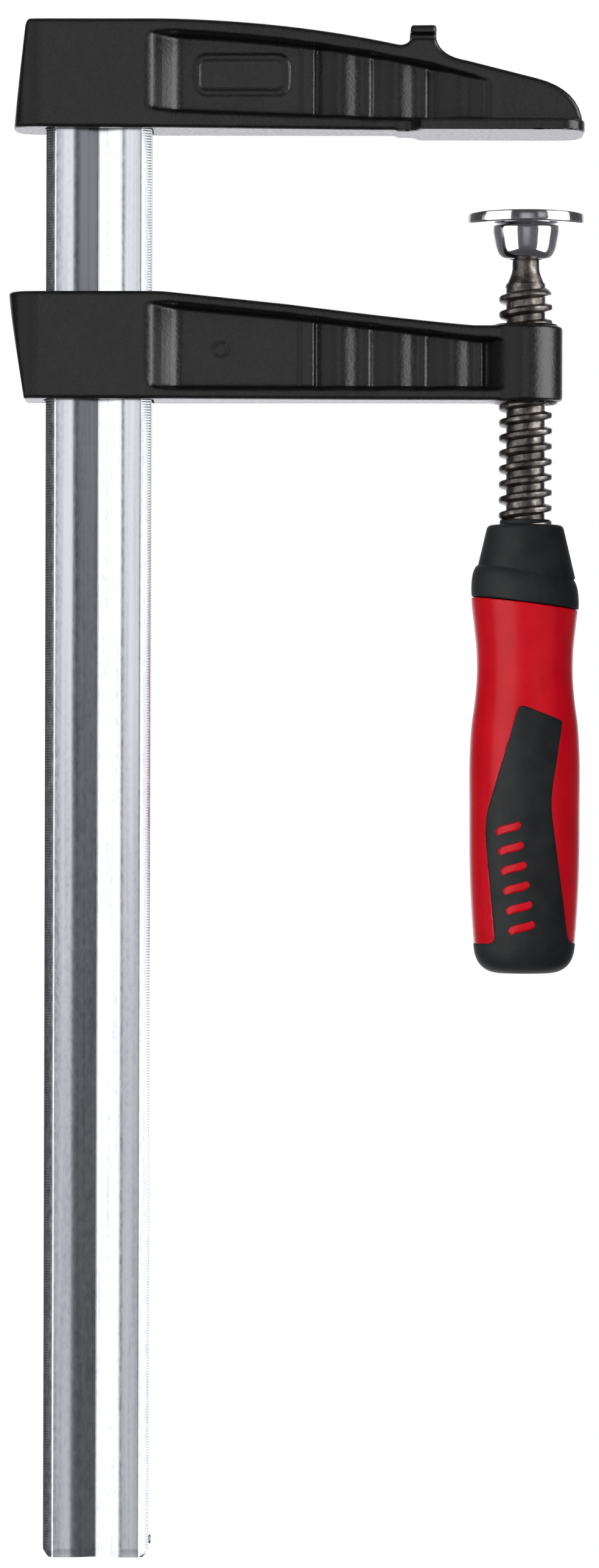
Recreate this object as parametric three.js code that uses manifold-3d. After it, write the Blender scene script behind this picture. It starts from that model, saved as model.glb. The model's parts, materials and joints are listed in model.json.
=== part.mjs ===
// An F clamp for carpentry: a profiled steel rail carries a fixed cast jaw and a sliding cast arm,
// and a trapezoidal spindle in the arm's boss pushes a swivelling pressure pad towards the jaw.
//
// Millimetres, +Z up the rail. The origin is on the fixed jaw's clamping face, on the spindle axis.
// +X points from the rail towards the open end of the throat.
import * as THREE from "three";
import { mergeVertices } from "three/addons/utils/BufferGeometryUtils.js";
import Module from "manifold-3d";

const wasm = await Module();
wasm.setup();

// ---- Driving dimensions ----
const THROAT = 110.5; // rail centre line to spindle axis
const GAP = 0.3; // clearance between neighbouring pieces
const RAIL_X = -THROAT;

const RAIL = { width: 27.3, thickness: 13, top: 28.2, bottom: -368, chamfer: 2.6, endChamfer: 1.8 };
const RAIL_GROOVE = { width: 13.2, depth: 1.75 };
const END_STOP = { radius: 1.25, length: 6, proud: 0.55, z: -364 };

const ARM = { collarThickness: 21, flangeWidth: 17, webThickness: 6, rim: 3.1, beadRadius: 1.1 };
const FLUTE_PITCH = 14.6; // spacing of the upright beads along both arms
const FIRST_BEAD_X = -53.7;

const JAW = { top: 28.8, bottom: 0.4, tipX: 14.3, backX: -27.5, width: 27, lip: 2.9 };
const JAW_NUB = { left: -30.1, right: -23.4, top: 27.6 };

const SLIDER = { top: -41.4, bottom: -69.2, noseTop: -50.1, slot: 0.4 };
const BOSS = { radius: 9.5, top: -50.1, bottom: -69.2, ringRadius: 8.2, ringHeight: 0.7 };

const THREAD = { pitch: 4, rootRadius: 5, crestRadius: 6.88, crestWidth: 1.3, flankDegrees: 15 };
const THREAD_CLEARANCE = { radial: 0.35, flank: 0.25 };
const THREAD_STEPS = 18; // facets in one turn
const THREAD_TOP = -40.3;

const BALL = { z: -27, radius: 4.9 };
const NECK = { radius: 3.3, bottom: -35.3 };
const PAD = { radius: 15, top: -20.6, thickness: 2.9, socketRadius: 5.2, cupBottom: -32.5 };
const SNAP_RING = { radius: 4.78, wire: 0.43, z: -30.2, opening: 1.6 };

const HANDLE = { lipTop: -99.7, top: -101.1, bottom: -217, bandZ: -121.3, buttZ: -209.3 };
const HANDLE_SLANT = THREE.MathUtils.degToRad(7); // tilt of the collar's lower edge
const TANG = { radius: 4.6, bottom: -150 };
const THREAD_START = HANDLE.lipTop; // a turn of both threads starts here, so that they mesh

// ---- Helpers ----
// A closed three.js geometry as a manifold-3d solid.
function solid(geometry) {
  const bare = geometry.index ? geometry.toNonIndexed() : geometry.clone();
  bare.deleteAttribute("normal");
  bare.deleteAttribute("uv");
  const merged = mergeVertices(bare, 1e-4);
  return new wasm.Manifold(
    new wasm.Mesh({
      numProp: 3,
      vertProperties: merged.attributes.position.array,
      triVerts: new Uint32Array(merged.index.array),
    }),
  );
}

// A manifold-3d solid as a named three.js mesh.
function part(name, body, material) {
  const { numProp, vertProperties, triVerts } = body.getMesh();
  const geometry = new THREE.BufferGeometry()
    .setAttribute("position", new THREE.InterleavedBufferAttribute(
      new THREE.InterleavedBuffer(vertProperties, numProp), 3, 0))
    .setIndex(new THREE.BufferAttribute(triVerts, 1));
  const mesh = new THREE.Mesh(geometry.toNonIndexed(), material);
  mesh.geometry.computeVertexNormals();
  mesh.name = name;
  return mesh;
}

// A side outline in (X, Z), thickened evenly to both sides of the plane Y = 0.
function slab(shape, thickness, curveSegments = 6) {
  const geometry = new THREE.ExtrudeGeometry(shape, {
    depth: thickness, bevelEnabled: false, curveSegments });
  geometry.translate(0, 0, -thickness / 2).rotateX(Math.PI / 2);
  return solid(geometry);
}

// A plan outline in (X, Y), raised from one height to another.
function plate(shape, low, high, curveSegments = 6) {
  const geometry = new THREE.ExtrudeGeometry(shape, {
    depth: high - low, bevelEnabled: false, curveSegments });
  return solid(geometry.translate(0, 0, low));
}

// A profile of [radius, z] points turned about the spindle axis, running upwards.
function turned(profile, segments = 32) {
  const points = profile.map(([radius, z]) => new THREE.Vector2(radius, z));
  return solid(new THREE.LatheGeometry(points, segments).rotateX(Math.PI / 2));
}

function box(x0, x1, y0, y1, z0, z1) {
  const geometry = new THREE.BoxGeometry(x1 - x0, y1 - y0, z1 - z0);
  return solid(geometry.translate((x0 + x1) / 2, (y0 + y1) / 2, (z0 + z1) / 2));
}

// An upright cylinder anywhere in plan.
function post(x, y, radius, low, high, segments = 12) {
  const geometry = new THREE.CylinderGeometry(radius, radius, high - low, segments);
  return solid(geometry.rotateX(Math.PI / 2).translate(x, y, (low + high) / 2));
}

const union = (first, ...rest) => rest.reduce((sum, piece) => sum.add(piece), first);

// A right-hand trapezoidal thread as a solid rod. Each helical line of the profile is a row of points,
// and the flat ends are fans about the axis.
function threadedRod({ rootRadius, crestRadius, crestWidth, flankDegrees, pitch }, low, turns) {
  const flank = (crestRadius - rootRadius) * Math.tan(THREE.MathUtils.degToRad(flankDegrees));
  const profile = [
    [rootRadius, -crestWidth / 2 - flank], [crestRadius, -crestWidth / 2],
    [crestRadius, crestWidth / 2], [rootRadius, crestWidth / 2 + flank]];
  const steps = turns * THREAD_STEPS;
  const positions = [];
  for (let k = 0; k <= steps; k++) {
    const angle = (k / THREAD_STEPS) * 2 * Math.PI;
    const rise = low + (k / THREAD_STEPS) * pitch;
    for (const [radius, offset] of profile)
      positions.push(radius * Math.cos(angle), radius * Math.sin(angle), rise + offset);
  }
  const at = (k, m) => (m < 4 ? 4 * k + m : 4 * (k + THREAD_STEPS) + m - 4);
  const triangles = [];
  const quad = (a, b, c, d) => triangles.push(a, b, c, a, c, d);
  for (let k = 0; k < steps; k++)
    for (let m = 0; m < 4; m++)
      if (m < 3 || k + 1 + THREAD_STEPS <= steps)
        quad(at(k, m), at(k + 1, m), at(k + 1, m + 1), at(k, m + 1));
  const cap = (loop, z, upwards) => {
    const centre = positions.length / 3;
    positions.push(0, 0, z);
    loop.forEach((point, i) => {
      const next = loop[(i + 1) % loop.length];
      triangles.push(centre, ...(upwards ? [point, next] : [next, point]));
    });
  };
  const turn = [...Array(THREAD_STEPS + 1).keys()];
  cap([...turn.map((k) => at(k, 0)), at(0, 3), at(0, 2), at(0, 1)], low, false);
  const last = steps - THREAD_STEPS;
  cap([...turn.map((k) => at(last + k, 3)), at(steps, 2), at(steps, 1), at(steps, 0)].filter(
    (point, i, loop) => loop.indexOf(point) === i), low + turns * pitch, true);
  const geometry = new THREE.BufferGeometry()
    .setAttribute("position", new THREE.Float32BufferAttribute(positions, 3))
    .setIndex(triangles);
  return solid(geometry);
}

// ---- Materials ----
const finish = (color, roughness, metalness) =>
  new THREE.MeshStandardMaterial({ color, roughness, metalness });
const CAST = finish(0x2c2c2a, 0.55, 0.4);
const DRAWN_STEEL = finish(0xc9cbcc, 0.3, 1);
const SCREW_STEEL = finish(0x5a5650, 0.4, 0.9);
const CHROME = finish(0xd8dadb, 0.15, 1);
const RED_PLASTIC = finish(0xc40f1a, 0.35, 0);
const SOFT_BLACK = finish(0x26282a, 0.65, 0);

// ---- Rail ----
// Drawn bar: a shallow V along each broad face and chamfered narrow edges.
function railSection(grow = 0) {
  const halfWidth = RAIL.width / 2 + grow;
  const halfThickness = RAIL.thickness / 2 + grow;
  const section = new THREE.Shape();
  const corners = [
    [halfWidth, -halfThickness + RAIL.chamfer], [halfWidth, halfThickness - RAIL.chamfer],
    [halfWidth - RAIL.chamfer, halfThickness], [RAIL_GROOVE.width / 2, halfThickness],
    [0, halfThickness - RAIL_GROOVE.depth]];
  const half = [...corners, ...corners.slice(1, 4).reverse().map(([x, y]) => [-x, y])];
  const all = [...half.slice(1), ...half.slice(1).map(([x, y]) => [-x, -y])];
  all.forEach(([x, y], i) => section[i ? "lineTo" : "moveTo"](RAIL_X + x, y));
  section.closePath();
  return section;
}

function endStopPin(grow = 0) {
  const edge = RAIL_X + RAIL.width / 2;
  const length = END_STOP.length + END_STOP.proud + grow;
  const geometry = new THREE.CylinderGeometry(
    END_STOP.radius + grow, END_STOP.radius + grow, length, 16);
  geometry.rotateZ(Math.PI / 2);
  return solid(geometry.translate(edge + END_STOP.proud - length / 2, 0, END_STOP.z));
}

function rail() {
  const bar = plate(railSection(), RAIL.bottom, RAIL.top);
  const corner = new THREE.Shape();
  corner.moveTo(0, 0);
  corner.lineTo(RAIL.endChamfer + 1, -1);
  corner.lineTo(-1, -1);
  corner.lineTo(-1, RAIL.endChamfer + 1);
  const cut = slab(corner, RAIL.thickness + 2);
  const left = cut.translate([RAIL_X - RAIL.width / 2, 0, RAIL.bottom]);
  const right = cut.mirror([1, 0, 0]).translate([RAIL_X + RAIL.width / 2, 0, RAIL.bottom]);
  return bar.subtract(left).subtract(right).subtract(endStopPin(GAP));
}

// ---- Cast arms ----
// The plan of a collar round the rail, rounded at its outer end.
function collarPlan(outerX, innerX) {
  const half = ARM.collarThickness / 2;
  const plan = new THREE.Shape();
  plan.moveTo(innerX, -half);
  plan.lineTo(innerX, half);
  plan.lineTo(outerX + 7, half);
  plan.quadraticCurveTo(outerX, half, outerX, half - 6);
  plan.lineTo(outerX, -half + 6);
  plan.quadraticCurveTo(outerX, -half, outerX + 7, -half);
  return plan;
}

// The hole through a collar for the rail.
function railSlot(clearance, low, high) {
  const halfWidth = RAIL.width / 2 + clearance;
  const halfThickness = RAIL.thickness / 2 + clearance;
  return box(RAIL_X - halfWidth, RAIL_X + halfWidth, -halfThickness, halfThickness, low, high);
}

// Upright beads on both faces of a web, spaced along the arm and trimmed to the arm's outline.
function beads(count, low, high, outline) {
  const face = ARM.webThickness / 2;
  const posts = [];
  for (let i = 0; i < count; i++)
    for (const side of [-1, 1])
      posts.push(post(FIRST_BEAD_X + i * FLUTE_PITCH, side * face, ARM.beadRadius, low, high));
  return union(...posts).intersect(outline);
}

function fixedJawOutline() {
  const outline = new THREE.Shape();
  outline.moveTo(RAIL_X - 21.4, 0.8);
  outline.lineTo(-40, JAW.bottom);
  outline.lineTo(JAW.tipX, JAW.bottom);
  outline.lineTo(JAW.tipX, 2.1);
  outline.quadraticCurveTo(13.5, 11.2, 2.3, 14);
  outline.lineTo(-15.6, 18.5);
  outline.quadraticCurveTo(-21.8, 19.6, JAW_NUB.right + 0.6, 22.4);
  outline.lineTo(JAW_NUB.right, 23.4);
  outline.lineTo(JAW_NUB.right, JAW_NUB.top - 1);
  outline.quadraticCurveTo(JAW_NUB.right, JAW_NUB.top, JAW_NUB.right - 1, JAW_NUB.top);
  outline.lineTo(JAW_NUB.left + 1, JAW_NUB.top);
  outline.quadraticCurveTo(JAW_NUB.left, JAW_NUB.top, JAW_NUB.left, JAW_NUB.top - 1);
  outline.lineTo(JAW_NUB.left, 24);
  outline.quadraticCurveTo(JAW_NUB.left - 0.4, 22.6, -32.5, 22.4);
  outline.quadraticCurveTo(-62, 28.6, RAIL_X + 15, JAW.top);
  outline.lineTo(RAIL_X - 17, JAW.top);
  outline.quadraticCurveTo(RAIL_X - 18, JAW.top, RAIL_X - 18.2, 26.8);
  return outline;
}

// The sunk field on each side of the fixed jaw's web.
function fixedJawPocket() {
  const pocket = new THREE.Shape();
  pocket.moveTo(RAIL_X + 19, 5.6);
  pocket.lineTo(-35, 3.4);
  pocket.lineTo(-7, 3.1);
  pocket.quadraticCurveTo(-4.5, 3.2, -5.2, 6);
  pocket.lineTo(-6.5, 12.2);
  pocket.lineTo(-25, 17);
  pocket.quadraticCurveTo(-57, 23.6, RAIL_X + 19, 25.2);
  return pocket;
}

// The clamping plate at the jaw's tip, wider than the arm and rounded at its free corners.
function clampingPlate() {
  const half = JAW.width / 2;
  const flange = ARM.flangeWidth / 2;
  const plan = new THREE.Shape();
  plan.moveTo(JAW.backX - 5.5, -flange);
  plan.quadraticCurveTo(JAW.backX - 1.5, -flange, JAW.backX, -half);
  plan.lineTo(JAW.tipX - 5, -half);
  plan.quadraticCurveTo(JAW.tipX, -half, JAW.tipX + 0.5, -half + 6);
  plan.lineTo(JAW.tipX + 0.5, half - 6);
  plan.quadraticCurveTo(JAW.tipX, half, JAW.tipX - 5, half);
  plan.lineTo(JAW.backX, half);
  plan.quadraticCurveTo(JAW.backX - 1.5, flange, JAW.backX - 5.5, flange);
  return plate(plan, 0, JAW.lip);
}

function fixedJaw() {
  const outline = fixedJawOutline();
  const sunk = (ARM.flangeWidth - ARM.webThickness) / 2 + 1;
  const recess = slab(fixedJawPocket(), sunk);
  const offset = (ARM.webThickness + sunk) / 2;
  const beam = slab(outline, ARM.flangeWidth)
    .subtract(recess.translate([0, -offset, 0]))
    .subtract(recess.translate([0, offset, 0]));
  const collar = plate(collarPlan(RAIL_X - 22, RAIL_X + 16.5), 0, JAW.top)
    .intersect(slab(outline, ARM.collarThickness + 2));
  const ribs = beads(4, 1, JAW.top, slab(outline, ARM.flangeWidth));
  return union(beam, collar, ribs, clampingPlate())
    .subtract(railSlot(GAP, -1, JAW.top + 1));
}

function slidingArmOutline() {
  const outline = new THREE.Shape();
  outline.moveTo(RAIL_X - 18.6, SLIDER.bottom);
  outline.lineTo(0, SLIDER.bottom);
  outline.lineTo(0, SLIDER.noseTop);
  outline.lineTo(-14.8, SLIDER.noseTop);
  outline.quadraticCurveTo(-25.7, -48.7, -61.8, -44.6);
  outline.lineTo(RAIL_X + 17.4, SLIDER.top);
  outline.lineTo(RAIL_X - 22, SLIDER.top);
  outline.quadraticCurveTo(RAIL_X - 23.1, SLIDER.top, RAIL_X - 22.9, SLIDER.top - 1.4);
  return outline;
}

// The sunk field on each side of the sliding arm's web.
function slidingArmPocket() {
  const pocket = new THREE.Shape();
  pocket.moveTo(RAIL_X + 19, SLIDER.bottom + ARM.rim);
  pocket.lineTo(-12, SLIDER.bottom + ARM.rim);
  pocket.lineTo(-12, -53.4);
  pocket.lineTo(RAIL_X + 19, SLIDER.top - ARM.rim);
  return pocket;
}

function slidingArm() {
  const outline = slidingArmOutline();
  const sunk = (ARM.flangeWidth - ARM.webThickness) / 2 + 1;
  const recess = slab(slidingArmPocket(), sunk);
  const offset = (ARM.webThickness + sunk) / 2;
  const beam = slab(outline, ARM.flangeWidth)
    .subtract(recess.translate([0, -offset, 0]))
    .subtract(recess.translate([0, offset, 0]));
  const collar = plate(collarPlan(RAIL_X - 23.2, RAIL_X + 16.5), SLIDER.bottom, SLIDER.top)
    .intersect(slab(outline, ARM.collarThickness + 2));
  const ribs = beads(3, SLIDER.bottom + 1, SLIDER.top, slab(outline, ARM.flangeWidth));
  const ringEdge = BOSS.ringRadius;
  const boss = turned([
    [0, BOSS.bottom - BOSS.ringHeight], [ringEdge, BOSS.bottom - BOSS.ringHeight],
    [ringEdge, BOSS.bottom], [BOSS.radius, BOSS.bottom], [BOSS.radius, BOSS.top],
    [ringEdge, BOSS.top], [ringEdge, BOSS.top + BOSS.ringHeight],
    [0, BOSS.top + BOSS.ringHeight]]);
  return union(beam, collar, ribs, boss)
    .subtract(railSlot(SLIDER.slot, SLIDER.bottom - 1, SLIDER.top + 1))
    .subtract(femaleThread());
}

// The cutter for the boss's thread: the spindle's own thread with clearance all round.
function femaleThread() {
  const { radial, flank } = THREAD_CLEARANCE;
  const shape = {
    ...THREAD,
    rootRadius: THREAD.rootRadius + radial,
    crestRadius: THREAD.crestRadius + radial,
    crestWidth: THREAD.crestWidth + 2 * flank,
  };
  const turns = 9;
  const turnsBelow = Math.floor((BOSS.bottom - THREAD_START) / THREAD.pitch) - 2;
  return threadedRod(shape, THREAD_START + turnsBelow * THREAD.pitch, turns);
}

// ---- Spindle ----
function spindle() {
  const turns = Math.ceil((THREAD_TOP - THREAD_START) / THREAD.pitch) + 1;
  const chamfer = THREAD.crestRadius - THREAD.rootRadius;
  const envelope = turned([
    [0, THREAD_START + GAP], [THREAD.crestRadius + 1, THREAD_START + GAP],
    [THREAD.crestRadius + 1, THREAD_TOP - 1 - chamfer],
    [THREAD.rootRadius - 0.1, THREAD_TOP], [0, THREAD_TOP]], THREAD_STEPS);
  const thread = threadedRod(THREAD, THREAD_START - THREAD.pitch, turns + 1).intersect(envelope);
  const neckAngle = Math.asin(NECK.radius / BALL.radius);
  const ball = [];
  const ballSteps = 7;
  for (let i = 0; i <= ballSteps; i++) {
    const angle = Math.PI - neckAngle - (i / ballSteps) * (Math.PI - neckAngle);
    ball.push([BALL.radius * Math.sin(angle), BALL.z + BALL.radius * Math.cos(angle)]);
  }
  ball[ballSteps][0] = 0;
  const shank = turned([
    [0, TANG.bottom], [TANG.radius, TANG.bottom], [TANG.radius, THREAD_TOP + 0.4],
    [NECK.radius + 0.6, NECK.bottom - 2], [NECK.radius, NECK.bottom], ...ball], THREAD_STEPS);
  return shank.add(thread);
}

// ---- Pressure pad ----
function pressurePad() {
  const { radius, top, thickness, socketRadius, cupBottom } = PAD;
  const under = top - thickness;
  const socket = [];
  const socketSteps = 6;
  const socketStart = Math.acos((-28.6 - BALL.z) / socketRadius);
  for (let i = 0; i <= socketSteps; i++) {
    const angle = socketStart * (1 - i / socketSteps);
    socket.push([socketRadius * Math.sin(angle), BALL.z + socketRadius * Math.cos(angle)]);
  }
  socket[socketSteps][0] = 0;
  const outer = [
    [0, top], [radius - 0.8, top], [radius, top - 0.8], [radius, under + 0.6],
    [radius - 0.6, under], [10.2, under], [9.2, under - 0.9], [8.4, -27.1],
    [7.7, -29.4], [6.9, -31], [5.2, cupBottom]];
  const inner = [[4.5, cupBottom], [4.5, -31.8], [6.1, -31.8], [6.1, -28.6], ...socket];
  return turned([...inner.reverse(), ...outer.reverse()], 32);
}

// Open wire ring that sits under the ball and keeps it in the cup.
function snapRing() {
  const ring = new THREE.TorusGeometry(SNAP_RING.radius, SNAP_RING.wire, 8, 28);
  const half = SNAP_RING.opening / 2;
  return solid(ring.translate(0, 0, SNAP_RING.z))
    .subtract(box(SNAP_RING.radius - 2, SNAP_RING.radius + 2, -half, half,
      SNAP_RING.z - 2, SNAP_RING.z + 2));
}

// ---- Handle ----
// Outer form of the handle below the collar: waist, belly and rounded butt, as [radius, z] points.
const HANDLE_PROFILE = [
  [13.6, -117], [13.9, -121], [13.2, -127], [12.5, -134], [12.4, -140], [12.9, -147],
  [13.7, -153], [14.2, -160], [14.2, -188], [13.8, -199], [13, HANDLE.buttZ],
  [12, -212.6], [9.6, -215.8], [6, -217]];

function handleForm(grow = 0) {
  const side = HANDLE_PROFILE.map(([radius, z]) => [radius + grow, z]);
  side[side.length - 1] = [6, HANDLE.bottom - grow];
  return turned([[0, -117], ...side, [0, HANDLE.bottom - grow]].reverse(), 32);
}

// Everything below the slanted plane that parts the collar from the core, shifted along Z.
function belowSlant(shift) {
  const depth = 120;
  const geometry = new THREE.BoxGeometry(60, 60, depth);
  geometry.translate(0, 0, -depth / 2).rotateY(HANDLE_SLANT);
  return solid(geometry.translate(0, 0, HANDLE.bandZ + shift));
}

// The soft panel's outline on the front of the handle, wider towards the butt.
function panelShape(grow = 0) {
  const panel = new THREE.Shape();
  panel.moveTo(-1.6 - grow, -147.6 + grow);
  panel.lineTo(9.3 + grow, -151.6 + grow);
  panel.lineTo(6.1 + grow, -172.8);
  panel.lineTo(11.4 + grow, HANDLE.bottom - 4);
  panel.lineTo(-7.9 - grow, HANDLE.bottom - 4);
  panel.lineTo(-10.6 - grow, -180.3);
  panel.lineTo(-10.3 - grow, -176);
  panel.lineTo(-3 - grow, -150);
  return panel;
}

// Front and rear panels together with the butt: one soft moulding over the hard core.
function softForm(grow = 0) {
  const panel = slab(panelShape(grow), 20);
  const front = panel.translate([0, -9.2 - 10 + grow, 0]);
  const rear = front.rotate([0, 0, 180]);
  const butt = box(-20, 20, -20, 20, HANDLE.bottom - 5, HANDLE.buttZ + grow);
  return union(front, rear, butt);
}

function bore(radius, low, high) {
  return post(0, 0, radius, low, high, 24);
}

function handleCore() {
  return handleForm()
    .intersect(belowSlant(-GAP / 2))
    .subtract(softForm(GAP))
    .subtract(bore(TANG.radius + GAP, TANG.bottom - GAP, -100));
}

function handleSoftGrip() {
  const inner = turned([
    [0, -150], [11, -150], [11, HANDLE.buttZ + GAP], [0, HANDLE.buttZ + GAP]].reverse(), 24);
  return handleForm().intersect(softForm()).subtract(inner.intersect(
    box(-20, 20, -9.2, 9.2, -215, -100)));
}

function handleCollar() {
  const form = turned([
    [0, -126], [13.2, -126], [13.95, -121], [13.95, -118], [12.8, -113.4], [9.8, HANDLE.top],
    [6.7, HANDLE.top], [6.6, HANDLE.lipTop], [0, HANDLE.lipTop]]);
  return form
    .subtract(belowSlant(GAP / 2))
    .subtract(bore(TANG.radius + GAP, -130, HANDLE.lipTop + 1));
}

// ---- Assembly ----
const clamp = new THREE.Group();
clamp.add(
  part("rail", rail(), DRAWN_STEEL),
  part("rail_end_stop", endStopPin(), DRAWN_STEEL),
  part("fixed_jaw", fixedJaw(), CAST),
  part("sliding_arm", slidingArm(), CAST),
  part("spindle", spindle(), SCREW_STEEL),
  part("pressure_pad", pressurePad(), CHROME),
  part("pad_snap_ring", snapRing(), DRAWN_STEEL),
  part("handle_core", handleCore(), RED_PLASTIC),
  part("handle_collar", handleCollar(), SOFT_BLACK),
  part("handle_soft_grip", handleSoftGrip(), SOFT_BLACK),
);

export default clamp;
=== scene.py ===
"""The looks of an F clamp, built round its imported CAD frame.

Lengths in the modelling code are millimetres in the row frame: the origin is on the fixed jaw's
clamping face on the spindle axis, +X points to the open end of the throat and +Z up the rail.
"""

import json
import math

import bpy
import numpy as np
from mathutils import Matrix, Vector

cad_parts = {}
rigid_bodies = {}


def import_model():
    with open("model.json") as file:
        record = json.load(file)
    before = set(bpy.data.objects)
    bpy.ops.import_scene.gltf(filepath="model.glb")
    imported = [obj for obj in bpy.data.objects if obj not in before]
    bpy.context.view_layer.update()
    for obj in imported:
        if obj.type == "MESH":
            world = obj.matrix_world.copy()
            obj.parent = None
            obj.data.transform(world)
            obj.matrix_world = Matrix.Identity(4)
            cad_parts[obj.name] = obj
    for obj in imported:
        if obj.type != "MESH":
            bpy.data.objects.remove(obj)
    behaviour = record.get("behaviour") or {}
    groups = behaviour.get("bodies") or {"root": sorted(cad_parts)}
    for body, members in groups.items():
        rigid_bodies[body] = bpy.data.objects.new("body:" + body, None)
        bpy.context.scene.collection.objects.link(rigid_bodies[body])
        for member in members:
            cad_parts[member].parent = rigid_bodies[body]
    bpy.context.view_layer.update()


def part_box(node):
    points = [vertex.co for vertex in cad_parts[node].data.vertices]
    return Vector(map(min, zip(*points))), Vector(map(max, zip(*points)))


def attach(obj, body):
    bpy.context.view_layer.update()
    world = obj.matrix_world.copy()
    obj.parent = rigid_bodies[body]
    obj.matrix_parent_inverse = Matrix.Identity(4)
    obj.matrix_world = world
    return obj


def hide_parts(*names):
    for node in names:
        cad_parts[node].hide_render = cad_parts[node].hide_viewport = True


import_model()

MM = 0.001


def box_mm(node):
    """Lowest and highest corner of a CAD node, in millimetres."""
    low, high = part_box(node)
    return np.array(low) / MM, np.array(high) / MM


# ---- Places read from the frame ----
RAIL_LOW, RAIL_HIGH = box_mm("rail")
JAW_LOW, JAW_HIGH = box_mm("fixed_jaw")
ARM_LOW, ARM_HIGH = box_mm("sliding_arm")
STOP_LOW, STOP_HIGH = box_mm("rail_end_stop")
PAD_TOP = box_mm("pressure_pad")[1][2]
LIP_TOP = box_mm("handle_collar")[1][2]
BUTT_BOTTOM = box_mm("handle_soft_grip")[0][2]
SPINDLE_BOTTOM = box_mm("spindle")[0][2]

RAIL_X = (RAIL_LOW[0] + RAIL_HIGH[0]) / 2
RAIL_HALF_WIDTH = (RAIL_HIGH[0] - RAIL_LOW[0]) / 2
RAIL_HALF_THICKNESS = (RAIL_HIGH[1] - RAIL_LOW[1]) / 2

# ---- Design sizes ----
WEB_HALF = 3.0  # half the thickness of the thin web between the flanges
COLLAR_HALF = 10.5
FLANGE_HALF = 7.8  # at the free end of the arms; it widens to the collar
FLUTE_PITCH = 14.6
FIRST_GROOVE_X = -54.2
PITCH = 4.0
ROOT_RADIUS = 5.0
CREST_RADIUS = 6.88
BOSS_LOW, BOSS_HIGH = -69.1, -49.8
BOSS_RADIUS = 9.5
BOSS_RING_RADIUS, BOSS_RING_HEIGHT = 8.2, 0.7  # the low step at either end of the boss
BALL_Z = -27.0  # centre of the ball joint
BALL_RADIUS, SOCKET_RADIUS = 4.9, 5.2
NECK_RADIUS = 3.45
THREAD_TOP = -38.5  # where the thread has run out into the neck
COLLAR_TOP = -101.1
TANG_RADIUS, TANG_BOTTOM = 4.9, -151
HANDLE_SLANT = math.tan(math.radians(7.0))
THREAD_START = LIP_TOP - 0.95  # height of a crest at azimuth 0


# ---- Signed distance helpers ----
def smooth_min(a, b, k):
    blend = np.clip(0.5 + 0.5 * (b - a) / k, 0, 1)
    return b * (1 - blend) + a * blend - k * blend * (1 - blend)


def smooth_max(a, b, k):
    return -smooth_min(-a, -b, k)


def smoothstep(edge0, edge1, x):
    t = np.clip((x - edge0) / (edge1 - edge0), 0, 1)
    return t * t * (3 - 2 * t)


def curve(start, control, end, steps=8):
    """Points along a quadratic curve, without its first point."""
    t = np.linspace(0, 1, steps + 1)[1:, None]
    start, control, end = (np.array(p, float) for p in (start, control, end))
    return list((1 - t) ** 2 * start + 2 * t * (1 - t) * control + t * t * end)


def polygon_distance(points):
    """A function giving the signed distance to a closed outline, negative inside."""
    ring = np.array(points, float)

    def distance(u, v):
        u, v = np.asarray(u, float), np.asarray(v, float)
        nearest = np.full(u.shape, np.inf)
        inside = np.zeros(u.shape, bool)
        for (au, av), (bu, bv) in zip(ring, np.roll(ring, -1, axis=0)):
            eu, ev = bu - au, bv - av
            pu, pv = u - au, v - av
            t = np.clip((pu * eu + pv * ev) / (eu * eu + ev * ev), 0, 1)
            nearest = np.minimum(nearest, (pu - eu * t) ** 2 + (pv - ev * t) ** 2)
            if av != bv:
                spans = (av > v) != (bv > v)
                inside ^= spans & (u < (bu - au) * (v - av) / (bv - av) + au)
        return np.sqrt(nearest) * np.where(inside, -1, 1)

    return distance


def in_xz(distance, x, z):
    """Evaluates a side outline once per column of a grid, or point by point."""
    if x.ndim == 3:
        return distance(x[:, 0, :], z[:, 0, :])[:, None, :]
    return distance(x, z)


def in_xy(distance, x, y):
    if x.ndim == 3:
        return distance(x[:, :, 0], y[:, :, 0])[:, :, None]
    return distance(x, y)


TABLE_U, TABLE_V, TABLE_STEP = (-16, 16.01), (-220, -110), 0.1  # covers the handle
TABLES = {}


def looked_up(distance, u, v):
    """An outline's distance, read from a fine table that is made once for each outline."""
    if distance not in TABLES:
        us, vs = np.arange(*TABLE_U, TABLE_STEP), np.arange(*TABLE_V, TABLE_STEP)
        TABLES[distance] = distance(*np.meshgrid(us, vs, indexing="ij"))
    table = TABLES[distance]
    a = np.clip((u - TABLE_U[0]) / TABLE_STEP, 0, table.shape[0] - 1.001)
    b = np.clip((v - TABLE_V[0]) / TABLE_STEP, 0, table.shape[1] - 1.001)
    i, j = a.astype(int), b.astype(int)
    s, t = a - i, b - j
    return ((1 - s) * (1 - t) * table[i, j] + s * (1 - t) * table[i + 1, j]
            + (1 - s) * t * table[i, j + 1] + s * t * table[i + 1, j + 1])


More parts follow.
